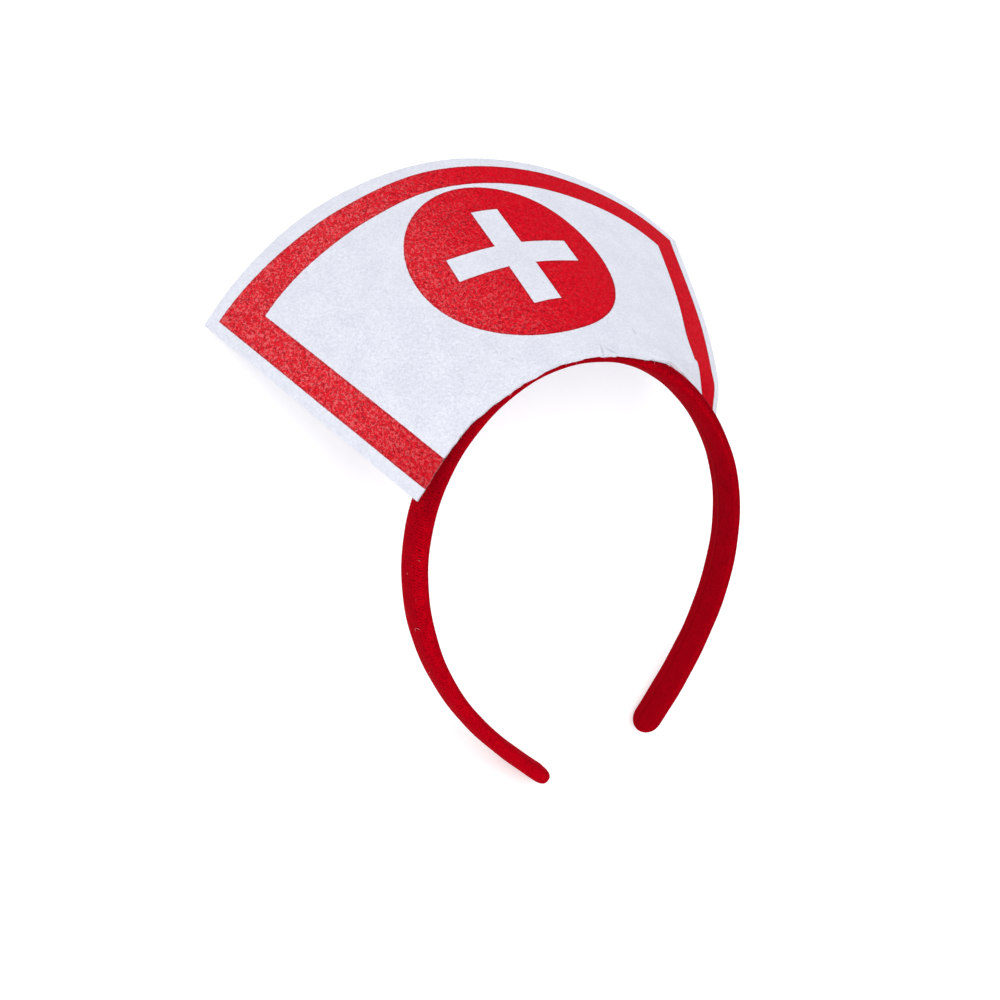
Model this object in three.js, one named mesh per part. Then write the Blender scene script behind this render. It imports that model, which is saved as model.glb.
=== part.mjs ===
import * as THREE from "three";

// Driving dimensions in millimetres and degrees.
// The cap is drawn as it is worn, with X across the head, Z up and the printed side to -Y.
// It is then laid on its back as it rests on a table.

// Headband
const BAND_WIDTH = 12;
const BAND_THICKNESS = 5.2;
const BAND_TOP_RADIUS = 52.2;
const BAND_ARM_LENGTH = 182.5;
const BAND_TIP_LENGTH = 6;
const BAND_EDGE_FULLNESS = 2.6;

// Felt panel
const FELT_THICKNESS = 1.2;
const FELT_GAP = 0.3;
const FAN_APEX_FRONT = 58;
const FAN_APEX_HEIGHT = 23.7;
const FAN_TOP_HALF_WIDTH = 94.5;
const FAN_TOP_CORNER_REACH = 128.5;
const FAN_TOP_MIDDLE_REACH = 155.5;
const FAN_FOOT_HALF_WIDTH = 66;
const FAN_FOOT_CORNER_REACH = 43;
const FAN_FOOT_MIDDLE_REACH = 56.7;

// Fineness of the faceted surfaces
const BAND_STATIONS = 104;
const BAND_SECTION_POINTS = 20;
const BAND_TIP_RINGS = 6;
const FAN_COLUMNS = 72;
const FAN_ROWS = 14;
const FAN_RULINGS = 160;

// Bend of one arm of the headband, from its top to its tip
// along: share of BAND_ARM_LENGTH, bend: share of the bend at the top
const ARM_BENDS = [
  { along: 0, bend: 1 },
  { along: 0.25, bend: 0.84 },
  { along: 0.5, bend: 0.8 },
  { along: 0.75, bend: 0.5 },
  { along: 1, bend: 0.1 },
];

const FABRIC_RED = new THREE.MeshStandardMaterial({
  color: 0xb4141c,
  roughness: 0.92,
  metalness: 0,
});
const FELT_WHITE = new THREE.MeshStandardMaterial({
  color: 0xe9e8f0,
  roughness: 0.95,
  metalness: 0,
});

// Bend of an arm at a share of its length, in radians per millimetre
function bendAt(share) {
  let i = 1;
  while (i < ARM_BENDS.length - 1 && ARM_BENDS[i].along < share) {
    i += 1;
  }
  const from = ARM_BENDS[i - 1];
  const to = ARM_BENDS[i];
  const t = (share - from.along) / (to.along - from.along);
  return (from.bend + (to.bend - from.bend) * t) / BAND_TOP_RADIUS;
}

// Middle line of one arm, followed in short steps from the top of the band
function traceArm() {
  const steps = 720;
  const step = BAND_ARM_LENGTH / steps;
  const trace = [];
  let x = 0;
  let z = BAND_TOP_RADIUS;
  let turn = 0;
  for (let i = 0; i <= steps; i += 1) {
    trace.push({ x, z, turn });
    const middle = turn + (bendAt((i + 0.5) / steps) * step) / 2;
    x += Math.cos(middle) * step;
    z -= Math.sin(middle) * step;
    turn += bendAt((i + 0.5) / steps) * step;
  }
  return trace;
}

const ARM = traceArm();

// Place on the middle line at a signed length from the top: centre, heading and outward direction
function bandFrame(length) {
  const side = length < 0 ? -1 : 1;
  const place = (Math.abs(length) / BAND_ARM_LENGTH) * (ARM.length - 1);
  const i = Math.min(Math.floor(place), ARM.length - 2);
  const t = place - i;
  const mix = (key) => ARM[i][key] + (ARM[i + 1][key] - ARM[i][key]) * t;
  const turn = mix("turn");
  return {
    centre: new THREE.Vector3(side * mix("x"), 0, mix("z")),
    heading: new THREE.Vector3(Math.cos(turn), 0, -side * Math.sin(turn)),
    outward: new THREE.Vector3(side * Math.sin(turn), 0, Math.cos(turn)),
  };
}

// Padded cross-section of the band: across its width and out through its thickness
function sectionPoint(angle) {
  const power = 2 / BAND_EDGE_FULLNESS;
  const c = Math.cos(angle);
  const s = Math.sin(angle);
  return {
    across: (Math.sign(c) * Math.abs(c) ** power * BAND_WIDTH) / 2,
    out: (Math.sign(s) * Math.abs(s) ** power * BAND_THICKNESS) / 2,
  };
}

// Closed surface from rings of equal length, with a single point at each end
function skinRings(rings, firstPoint, lastPoint) {
  const count = rings[0].length;
  const points = [firstPoint, ...rings.flat(), lastPoint];
  const at = (ring, k) => 1 + ring * count + (k % count);
  const faces = [];
  for (let k = 0; k < count; k += 1) {
    faces.push(0, at(0, k + 1), at(0, k));
    faces.push(points.length - 1, at(rings.length - 1, k), at(rings.length - 1, k + 1));
  }
  for (let r = 0; r < rings.length - 1; r += 1) {
    for (let k = 0; k < count; k += 1) {
      faces.push(at(r, k), at(r, k + 1), at(r + 1, k + 1));
      faces.push(at(r, k), at(r + 1, k + 1), at(r + 1, k));
    }
  }
  return surfaceFrom(points, faces);
}

// Surface geometry with its normals from points and triangle corners
function surfaceFrom(points, faces) {
  const geometry = new THREE.BufferGeometry();
  geometry.setAttribute(
    "position",
    new THREE.Float32BufferAttribute(points.flatMap((p) => p.toArray()), 3),
  );
  geometry.setIndex(faces);
  geometry.computeVertexNormals();
  return geometry;
}

// Stations of the band as signed lengths, closer together in the rounded tips
function bandStations() {
  const reach = BAND_ARM_LENGTH - BAND_TIP_LENGTH;
  const stations = [];
  for (let i = 1; i < BAND_TIP_RINGS; i += 1) {
    const angle = (i / BAND_TIP_RINGS) * (Math.PI / 2);
    stations.push(reach + BAND_TIP_LENGTH * Math.cos(angle));
  }
  for (let i = 0; i <= BAND_STATIONS; i += 1) {
    stations.push(reach * (1 - (2 * i) / BAND_STATIONS));
  }
  for (let i = BAND_TIP_RINGS - 1; i > 0; i -= 1) {
    stations.push(-stations[i - 1]);
  }
  return stations.reverse();
}

// Share of the full section that is left at a length inside the rounded tips
function tipScale(length) {
  const past = Math.abs(length) - (BAND_ARM_LENGTH - BAND_TIP_LENGTH);
  const u = Math.min(Math.max(past / BAND_TIP_LENGTH, 0), 1);
  return {
    across: Math.sqrt(1 - u ** 2),
    out: Math.sqrt(1 - u ** 3),
  };
}

function makeHeadband() {
  const rings = bandStations().map((length) => {
    const { centre, outward } = bandFrame(length);
    const scale = tipScale(length);
    const ring = [];
    for (let k = 0; k < BAND_SECTION_POINTS; k += 1) {
      const angle = ((k + 0.5) / BAND_SECTION_POINTS) * 2 * Math.PI;
      const { across, out } = sectionPoint(angle);
      const point = centre.clone().addScaledVector(outward, out * scale.out);
      point.y += across * scale.across;
      ring.push(point);
    }
    return ring;
  });
  const firstPoint = bandFrame(-BAND_ARM_LENGTH).centre;
  const lastPoint = bandFrame(BAND_ARM_LENGTH).centre;
  const mesh = new THREE.Mesh(skinRings(rings, firstPoint, lastPoint), FABRIC_RED);
  mesh.name = "headband";
  return mesh;
}

const APEX = new THREE.Vector3(0, -FAN_APEX_FRONT, FAN_APEX_HEIGHT);

// Reach of the padded section towards a direction that leans forward from its outward side
function seatPoint(lean) {
  const power = BAND_EDGE_FULLNESS / (BAND_EDGE_FULLNESS - 1);
  const a = (BAND_WIDTH / 2) * Math.sin(lean);
  const b = (BAND_THICKNESS / 2) * Math.cos(lean);
  const reach = (a ** power + b ** power) ** (1 / power);
  return {
    forward: (BAND_WIDTH / 2) * (a / reach) ** (power - 1),
    out: (BAND_THICKNESS / 2) * (b / reach) ** (power - 1),
  };
}

// Where the middle of the felt passes over the front edge of the band
function feltSeat(length) {
  const { centre, outward } = bandFrame(length);
  const seat = new THREE.Vector3();
  let lean = 0.6;
  for (let i = 0; i < 6; i += 1) {
    const { forward, out } = seatPoint(lean);
    const lift = FELT_GAP + FELT_THICKNESS / 2;
    seat.copy(centre).addScaledVector(outward, out + lift * Math.cos(lean));
    seat.y -= forward + lift * Math.sin(lean);
    const ruling = seat.clone().sub(APEX).normalize();
    lean = Math.atan2(ruling.dot(outward), ruling.y);
  }
  return seat;
}

// Straight rulings of the fan, each with its direction and its angle when the felt lies flat
function traceFan() {
  const rulings = [];
  let angle = 0;
  for (let i = 0; i <= FAN_RULINGS; i += 1) {
    const length = (i / FAN_RULINGS) * BAND_ARM_LENGTH * 0.5;
    const direction = feltSeat(length).sub(APEX).normalize();
    if (i > 0) {
      angle += direction.angleTo(rulings[i - 1].direction);
    }
    rulings.push({ direction, angle });
  }
  return rulings;
}

const FAN = traceFan();

// Direction of the fan at a flat angle from its middle
function fanDirection(angle) {
  const size = Math.abs(angle);
  let i = 1;
  while (i < FAN.length - 1 && FAN[i].angle < size) {
    i += 1;
  }
  const t = (size - FAN[i - 1].angle) / (FAN[i].angle - FAN[i - 1].angle);
  const direction = FAN[i - 1].direction.clone().lerp(FAN[i].direction, t).normalize();
  if (angle < 0) {
    direction.x *= -1;
  }
  return direction;
}

// Point of the felt from its place in the flat pattern and its height off the middle of the sheet
function feltPoint(x, y, height) {
  const angle = Math.atan2(x, y);
  const small = 0.004;
  const direction = fanDirection(angle);
  const along = fanDirection(angle + small).sub(fanDirection(angle - small));
  const normal = along.cross(direction).normalize();
  return APEX.clone()
    .addScaledVector(direction, Math.hypot(x, y))
    .addScaledVector(normal, height);
}

// Height of an arc over a half chord, at a place across it
function arcReach(x, halfWidth, cornerReach, middleReach) {
  const rise = middleReach - cornerReach;
  const radius = (halfWidth ** 2 + rise ** 2) / (2 * rise);
  return middleReach - radius + Math.sqrt(radius ** 2 - x ** 2);
}

// Flat place in the fan: u runs from its left side to its right, v from its foot to its top
function fanPlace(u, v) {
  const footX = u * FAN_FOOT_HALF_WIDTH;
  const topX = u * FAN_TOP_HALF_WIDTH;
  const footY = arcReach(footX, FAN_FOOT_HALF_WIDTH, FAN_FOOT_CORNER_REACH, FAN_FOOT_MIDDLE_REACH);
  const topY = arcReach(topX, FAN_TOP_HALF_WIDTH, FAN_TOP_CORNER_REACH, FAN_TOP_MIDDLE_REACH);
  return {
    x: footX + (topX - footX) * v,
    y: footY + (topY - footY) * v,
  };
}

function makeCapPanel() {
  const columns = FAN_COLUMNS + 1;
  const rows = FAN_ROWS + 1;
  const points = [];
  for (const height of [FELT_THICKNESS / 2, -FELT_THICKNESS / 2]) {
    for (let j = 0; j < rows; j += 1) {
      for (let i = 0; i < columns; i += 1) {
        const { x, y } = fanPlace((2 * i) / FAN_COLUMNS - 1, j / FAN_ROWS);
        points.push(feltPoint(x, y, height));
      }
    }
  }
  const layer = columns * rows;
  const at = (i, j, side) => side * layer + j * columns + i;
  const faces = [];
  const quad = (a, b, c, d) => faces.push(a, b, c, a, c, d);
  for (let j = 0; j < FAN_ROWS; j += 1) {
    for (let i = 0; i < FAN_COLUMNS; i += 1) {
      quad(at(i, j, 0), at(i + 1, j, 0), at(i + 1, j + 1, 0), at(i, j + 1, 0));
      quad(at(i, j, 1), at(i, j + 1, 1), at(i + 1, j + 1, 1), at(i + 1, j, 1));
    }
  }
  for (let i = 0; i < FAN_COLUMNS; i += 1) {
    quad(at(i + 1, 0, 0), at(i, 0, 0), at(i, 0, 1), at(i + 1, 0, 1));
    quad(at(i, FAN_ROWS, 0), at(i + 1, FAN_ROWS, 0), at(i + 1, FAN_ROWS, 1), at(i, FAN_ROWS, 1));
  }
  for (let j = 0; j < FAN_ROWS; j += 1) {
    quad(at(0, j, 0), at(0, j + 1, 0), at(0, j + 1, 1), at(0, j, 1));
    quad(at(FAN_COLUMNS, j + 1, 0), at(FAN_COLUMNS, j, 0), at(FAN_COLUMNS, j, 1), at(FAN_COLUMNS, j + 1, 1));
  }
  const mesh = new THREE.Mesh(surfaceFrom(points, faces), FELT_WHITE);
  mesh.name = "cap_panel";
  return mesh;
}

// Tilt that brings the backs of the tips and the upper corners of the fan to one level
function restTilt() {
  const corner = feltPoint(FAN_TOP_HALF_WIDTH, FAN_TOP_CORNER_REACH, -FELT_THICKNESS / 2);
  let tilt = 0;
  for (let i = 0; i <= 90; i += 1) {
    const length = BAND_ARM_LENGTH * (0.9 + (0.1 * i) / 90);
    const { centre } = bandFrame(length);
    const back = (BAND_WIDTH / 2) * tipScale(length).across;
    const slope = Math.atan2(corner.y - back, corner.z - centre.z);
    tilt = i === 0 ? slope : Math.min(tilt, slope);
  }
  return tilt;
}

// Worn cap turned on its back: the printed side looks up and the fan points to +Y
const cap = new THREE.Group();
cap.add(makeHeadband(), makeCapPanel());
cap.rotation.x = -(Math.PI / 2 - restTilt());
cap.updateMatrixWorld(true);

// The lowest point comes down to the table, with the middle of the whole over the origin
const bounds = new THREE.Box3().setFromObject(cap, true);
cap.position.set(
  0,
  -(bounds.min.y + bounds.max.y) / 2,
  -bounds.min.z,
);

const object = new THREE.Group();
object.add(cap);

export default object;
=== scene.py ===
"""Nurse cap: a printed felt fan on a ribbed red headband, lying on its back on a pale table."""
import logging
import math
import random
from collections.abc import Iterator
from contextlib import contextmanager
from dataclasses import dataclass, field, replace
from enum import Enum

import bpy
import numpy as np
from mathutils import Matrix, Vector


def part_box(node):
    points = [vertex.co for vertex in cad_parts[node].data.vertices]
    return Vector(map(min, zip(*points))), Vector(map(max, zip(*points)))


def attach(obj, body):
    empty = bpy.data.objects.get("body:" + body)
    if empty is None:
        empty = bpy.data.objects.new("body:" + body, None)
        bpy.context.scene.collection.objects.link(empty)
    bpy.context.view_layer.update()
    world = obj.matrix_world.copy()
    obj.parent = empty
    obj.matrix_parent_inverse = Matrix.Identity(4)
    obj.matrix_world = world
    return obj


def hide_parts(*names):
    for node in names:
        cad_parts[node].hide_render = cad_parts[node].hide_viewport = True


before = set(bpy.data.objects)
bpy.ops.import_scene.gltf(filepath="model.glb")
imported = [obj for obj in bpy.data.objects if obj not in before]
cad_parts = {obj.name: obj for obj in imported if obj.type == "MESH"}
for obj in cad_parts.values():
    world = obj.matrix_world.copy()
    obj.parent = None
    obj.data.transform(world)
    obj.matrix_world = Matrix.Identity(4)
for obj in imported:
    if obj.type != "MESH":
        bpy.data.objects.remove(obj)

LOG = logging.getLogger("nurse_cap")
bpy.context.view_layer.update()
MM = 0.001
MM_IN_METRE = 1000.0

Array = np.ndarray
Pair = tuple[float, float]
Triple = tuple[float, float, float]
Quad = tuple[float, float, float, float]
Colour = Quad
# Where something starts and ends along a value, and what it goes from and to if that isn't 0 and 1
Ramp = tuple[float, ...]


def srgb(red: int, green: int, blue: int) -> Colour:
    """Turns a colour of 0 to 255 into the linear colour, with an alpha of 1, that a shader takes."""
    parts = [c / 255 for c in (red, green, blue)]
    return (*(c / 12.92 if c <= 0.04045 else ((c + 0.055) / 1.055) ** 2.4 for c in parts), 1.0)


def smooth_step(low: float, high: float, x: Array) -> Array:
    """Rises smoothly from 0 at low to 1 at high."""
    t = np.clip((x - low) / (high - low), 0, 1)
    return t * t * (3 - 2 * t)


# Tables

class Profile(Enum):
    """A short table whose rows each begin with a place along a part."""

    @classmethod
    def at(cls, place: Array | float, entry: int = 1) -> Array:
        """Reads one entry of the rows at any place, straight between the rows' own places."""
        return np.interp(place, [row.value[0] for row in cls], [row.value[entry] for row in cls])


class Bend(Profile):
    """How strongly an arm bends at shares of its length, as a share of the bend at the top."""

    TOP = (0.0, 1.0)
    TEMPLE = (0.25, 0.84)
    MIDDLE = (0.5, 0.8)
    LOWER = (0.75, 0.5)
    TIP = (1.0, 0.1)


class Cut(Profile):
    """How far the hand-cut foot strays along the felt, in millimetres, at shares of its half width."""

    LEFT_END = (-1.0, -0.4)
    LEFT = (-0.8, 0.4)
    LEFT_MIDDLE = (-0.67, 1.5)
    LEFT_INNER = (-0.46, 0.8)
    LEFT_TOP = (-0.2, 1.4)
    TOP = (0.05, 0.8)
    RIGHT_TOP = (0.4, -0.3)
    RIGHT = (0.66, 0.3)
    RIGHT_END = (1.0, 0.2)


class Sway(Profile):
    """How the arms stray from their even curve, at lengths from the top in millimetres.

    Each row has the length, how far the left and the right arm lie outwards, and how much fuller the left is.
    """

    SEAT = (66.0, 0.0, 0.0, 0.0)
    TEMPLE = (82.0, -0.1, 0.4, 0.05)
    MIDDLE = (98.0, -0.2, 0.3, 0.1)
    LOWER = (116.0, 0.0, 0.05, 0.05)
    CURL = (146.0, 0.65, -0.4, 0.0)
    TIP = (190.0, 0.7, -0.9, 0.1)


# Working on meshes

def choose(obj: bpy.types.Object) -> None:
    """Makes one object the only selected and the active one.

    Args:
        obj: The object to work on.
    """
    bpy.ops.object.select_all(action="DESELECT")
    obj.select_set(True)
    bpy.context.view_layer.objects.active = obj


@contextmanager
def editing(obj: bpy.types.Object, whole: bool = True) -> Iterator[None]:
    """Keeps a mesh in edit mode for a while.

    Args:
        obj: The mesh object.
        whole: Whether all of it is selected first.

    Yields:
        Nothing.
    """
    choose(obj)
    bpy.ops.object.mode_set(mode="EDIT")
    if whole:
        bpy.ops.mesh.select_all(action="SELECT")
    yield
    bpy.ops.object.mode_set(mode="OBJECT")


def name_piece(name: str) -> bpy.types.Object:
    """Names the active object and its mesh, and gives the object back."""
    bpy.context.object.name = bpy.context.object.data.name = name
    return bpy.context.object


def read_points(obj: bpy.types.Object) -> Array:
    """Reads the vertices of a mesh, one row each."""
    return np.array([vertex.co[:] for vertex in obj.data.vertices], float)


def write_points(obj: bpy.types.Object, points: Array) -> None:
    """Moves the vertices of a mesh to points, one row each."""
    obj.data.vertices.foreach_set("co", np.ascontiguousarray(points, dtype=np.float32).ravel())
    obj.data.update()


def write_attribute(obj: bpy.types.Object, name: str, values: Array) -> None:
    """Stores a number on each vertex."""
    attribute = obj.data.attributes.new(name, "FLOAT", "POINT")
    attribute.data.foreach_set("value", np.asarray(values, np.float32))


def apply_modifier(obj: bpy.types.Object, kind: str, **settings: object) -> None:
    """Adds a modifier and applies it at once.

    Args:
        obj: The mesh object.
        kind: The modifier's type.
        **settings: The modifier's settings.
    """
    choose(obj)
    modifier = obj.modifiers.new(kind.title(), kind)
    for key, value in settings.items():
        setattr(modifier, key, value)
    bpy.ops.object.modifier_apply(modifier=modifier.name)


def settle(obj: bpy.types.Object) -> None:
    """Flattens what would reach below the table."""
    points = read_points(obj)
    write_points(obj, np.column_stack([points[:, :2], np.maximum(points[:, 2], 0)]))


def hand_over(obj: bpy.types.Object, node: str | None = None) -> None:
    """Rides a finished piece on the cap, hides the CAD solid that it replaces, and logs its size.

    Args:
        obj: The finished piece.
        node: The CAD solid that it replaces, if any.
    """
    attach(obj, "root")
    if node:
        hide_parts(node)
    LOG.info("%s: %d faces", obj.name, len(obj.data.polygons))


# Shader expressions

class Value:
    """A number on its way through the nodes of a finish."""

    def __init__(self, bench: "Bench", socket: bpy.types.NodeSocket) -> None:
        """Wraps an output socket."""
        self.bench = bench
        self.socket = socket

    def math(self, operation: str, *others: "Value | float") -> "Value":
        """Adds one Math node that starts from this value and takes the others."""
        inputs = dict(enumerate([self, *others]))
        return self.bench.value("ShaderNodeMath", {"operation": operation}, inputs)

    def __add__(self, other: "Value | float") -> "Value":
        """Adds."""
        return self.math("ADD", other)

    def __sub__(self, other: "Value | float") -> "Value":
        """Subtracts."""
        return self.math("SUBTRACT", other)

    def __rsub__(self, other: float) -> "Value":
        """Subtracts this value from a number."""
        return self * -1.0 + other

    def __mul__(self, other: "Value | float") -> "Value":
        """Multiplies."""
        return self.math("MULTIPLY", other)

    def __truediv__(self, other: "Value | float") -> "Value":
        """Divides."""
        return self.math("DIVIDE", other)

    def __pow__(self, power: float) -> "Value":
        """Raises to a power."""
        return self.math("POWER", power)

    def __abs__(self) -> "Value":
        """Drops the sign."""
        return self.math("ABSOLUTE")

    __radd__ = __add__
    __rmul__ = __mul__

    def at_least(self, other: "Value | float") -> "Value":
        """Takes the larger of the two."""
        return self.math("MAXIMUM", other)

    def at_most(self, other: "Value | float") -> "Value":
        """Takes the smaller of the two."""
        return self.math("MINIMUM", other)

    def swing(self) -> "Value":
        """Turns an angle into a wave between 0 and 1."""
        return self.math("SINE") * 0.5 + 0.5

    def rise(self, low: float, high: float, start: float = 0.0, end: float = 1.0) -> "Value":
        """Goes smoothly from one number to another, also where low is the larger.

        Args:
            low: Where the result is the first number.
            high: Where the result is the last number.
            start: The first number.
            end: The last number.

        Returns:
            The mapped value.
        """
        if low > high:
            low, high, start, end = high, low, end, start
        settings = {"interpolation_type": "SMOOTHSTEP", "clamp": True}
        return self.bench.value("ShaderNodeMapRange", settings, {0: self, 1: low, 2: high, 3: start, 4: end})


def rise_of(x: Value | Array, low: float, high: float) -> Value | Array:
    """Rises smoothly from 0 at low to 1 at high, on numbers and in nodes alike."""
    return x.rise(low, high) if isinstance(x, Value) else smooth_step(low, high, x)


@dataclass(frozen=True)
class Grain:
    """A soft random pattern: its pace, finer layers and distortion, and how it is stretched and shifted."""

    scale: float
    detail: float = 2.0
    warp: float = 0.0
    stretch: Triple = (1.0, 1.0, 1.0)
    layer: float = 0.0


class Bench:
    """Where the nodes of one finish are laid out."""

    def __init__(self, name: str) -> None:
        """Starts an empty material.

        Args:
            name: The material's name.
        """
        self.material = bpy.data.materials.new(name)
        self.material.use_nodes = True
        self.tree = self.material.node_tree
        self.tree.nodes.clear()

    def node(self, kind: str, settings: dict | None = None, inputs: dict | None = None) -> bpy.types.Node:
        """Adds one node.

        Args:
            kind: The node's type.
            settings: Its settings, which are set first.
            inputs: The values or links of its sockets, by place or name.

        Returns:
            The node.
        """
        made = self.tree.nodes.new(kind)
        for key, value in (settings or {}).items():
            setattr(made, key, value)
        for key, value in (inputs or {}).items():
            source = value.socket if isinstance(value, Value) else value
            if isinstance(source, bpy.types.NodeSocket):
                self.tree.links.new(source, made.inputs[key])
            else:
                made.inputs[key].default_value = source
        return made

    def value(self, kind: str, settings: dict, inputs: dict | None = None, output: int | str = 0) -> Value:
        """Adds one node and takes a number from one of its outputs."""
        return Value(self, self.node(kind, settings, inputs).outputs[output])

    def attribute(self, name: str) -> Value:
        """Reads a number that is stored on the piece."""
        return self.value("ShaderNodeAttribute", {"attribute_name": name}, output="Fac")

    def millimetres(self, *names: str) -> list[Value]:
        """Reads lengths that are stored on the piece in metres."""
        return [self.attribute(name) * MM_IN_METRE for name in names]

    def place(self, x: Value, y: Value, z: Value | float = 0.0) -> bpy.types.NodeSocket:
        """Puts three numbers together as a place."""
        return self.node("ShaderNodeCombineXYZ", None, {0: x, 1: y, 2: z}).outputs[0]

    def own_place(self) -> bpy.types.NodeSocket:
        """Reads the place in the piece's own mesh."""
        return self.node("ShaderNodeTexCoord").outputs["Object"]

    def noise(self, place: bpy.types.NodeSocket, grain: Grain) -> Value:
        """Draws a soft random pattern.

        Args:
            place: Where it is read.
            grain: The pattern's size and kind.

        Returns:
            A number around 0.5.
        """
        moves = {0: place, 1: grain.stretch, 2: (0.0, 0.0, grain.layer)}
        spot = self.node("ShaderNodeVectorMath", {"operation": "MULTIPLY_ADD"}, moves).outputs[0]
        inputs = {"Vector": spot, "Scale": grain.scale, "Detail": grain.detail, "Distortion": grain.warp}
        return self.value("ShaderNodeTexNoise", {"noise_dimensions": "3D"}, inputs)

    def blend(self, share: Value | float, first: object, second: object) -> bpy.types.NodeSocket:
        """Mixes two colours or their sockets, with a share of the second."""
        inputs = {0: share, 6: first, 7: second}
        return self.node("ShaderNodeMix", {"data_type": "RGBA"}, inputs).outputs[2]

    def finish(self, shader: dict, relief: Value | None = None, depth: float = 0.0) -> bpy.types.Material:
        """Closes the material with one surface shader.

        Args:
            shader: The shader's sockets by name.
            relief: Height of the fine relief in millimetres, if any.
            depth: How strongly the relief shows.

        Returns:
            The finished material.
        """
        inputs = dict(shader)
        if relief is not None:
            bump = {"Height": relief, "Distance": MM, "Strength": depth}
            inputs["Normal"] = self.node("ShaderNodeBump", None, bump).outputs[0]
        surface = self.node("ShaderNodeBsdfPrincipled", None, inputs)
        self.node("ShaderNodeOutputMaterial", None, {0: surface.outputs[0]})
        return self.material


# Shapes that both pieces follow

@dataclass
class Hoop:
    """The open C of the headband, drawn upright as it is worn, in metres."""

    width: float = 12 * MM
    thickness: float = 5.2 * MM
    top_radius: float = 52.2 * MM
    arm_length: float = 182.5 * MM
    tip_length: float = 6 * MM
    fullness: float = 2.6
    steps: int = 1440
    search_step: int = 6
    search_batch: int = 3000
    trace: dict[str, Array] = field(init=False)

    def __post_init__(self) -> None:
        """Follows the middle line of one arm from its top to its tip."""
        s = np.linspace(0, self.arm_length + self.tip_length, self.steps + 1)
        bends = self.bend_at(s)
        turn = np.concatenate([[0], np.cumsum((bends[1:] + bends[:-1]) / 2 * s[1])])
        middle = (turn[1:] + turn[:-1]) / 2
        x = np.concatenate([[0], np.cumsum(np.cos(middle) * s[1])])
        z = self.top_radius - np.concatenate([[0], np.cumsum(np.sin(middle) * s[1])])
        self.trace = {"s": s, "x": x, "z": z, "turn": turn}

    def bend_at(self, length: Array | float) -> Array:
        """Tells the bend of the arm at lengths from the top, in radians per metre."""
        return Bend.at(length / self.arm_length) / self.top_radius

    def at(self, length: Array) -> tuple[Array, Array]:
        """Finds places on the middle line.

        Args:
            length: Signed lengths from the top, to the right where positive.

        Returns:
            The centres and the outward directions, one row each.
        """
        side = np.where(length < 0, -1.0, 1.0)
        x, z, turn = (np.interp(abs(length), self.trace["s"], self.trace[k]) for k in ("x", "z", "turn"))
        centre = np.stack([side * x, 0 * x, z], axis=1)
        return centre, np.stack([side * np.sin(turn), 0 * x, np.cos(turn)], axis=1)

    @staticmethod
    def heading(outward: Array) -> Array:
        """Turns outward directions into those along the band."""
        return np.cross(np.array([0.0, 1.0, 0.0]), outward)

    def locate(self, points: Array) -> tuple[Array, Array, Array]:
        """Finds where points lie along, across and off the middle line.

        Args:
            points: Worn points, one row each.

        Returns:
            Lengths from the top without their sign, places across and heights outwards.
        """
        line = np.stack([self.trace["x"], self.trace["z"]], axis=1)[::self.search_step]
        flat = np.stack([abs(points[:, 0]), points[:, 2]], axis=1)
        parts = np.array_split(flat, max(1, len(flat) // self.search_batch))
        nearest = [((part[:, None] - line[None]) ** 2).sum(axis=2).argmin(axis=1) for part in parts]
        s = self.trace["s"][::self.search_step][np.concatenate(nearest)]
        centre, outward = self.at(s)
        gap = flat - centre[:, [0, 2]]
        s = np.clip(s + (gap * self.heading(outward)[:, [0, 2]]).sum(axis=1), 0, None)
        centre, outward = self.at(s)
        return s, points[:, 1], ((flat - centre[:, [0, 2]]) * outward[:, [0, 2]]).sum(axis=1)

    def skin(self, run: Array, across: Array, off: Array | float) -> Array:
        """Finds points on the outer face.

        Args:
            run: Signed lengths from the top.
            across: Places across the band.
            off: Heights above the fabric.

        Returns:
            Worn points, one row each.
        """
        centre, outward = self.at(run)
        share = np.clip(1 - abs(across / (self.width / 2)) ** self.fullness, 0, 1)
        out = self.thickness / 2 * share ** (1 / self.fullness) + off
        points = centre + outward * out[:, None]
        points[:, 1] += across
        return points

    def seat(self, lean: Array) -> tuple[Array, Array]:
        """Finds how far the padded section reaches towards a direction that leans forward.

        Args:
            lean: Angles from the outward side towards the front.

        Returns:
            The reach to the front and the reach outwards.
        """
        power = self.fullness / (self.fullness - 1)
        a = self.width / 2 * np.sin(lean)
        b = self.thickness / 2 * np.cos(lean)
        reach = (a**power + b**power) ** (1 / power)
        front = self.width / 2 * (a / reach) ** (power - 1)
        return front, self.thickness / 2 * (b / reach) ** (power - 1)


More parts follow.
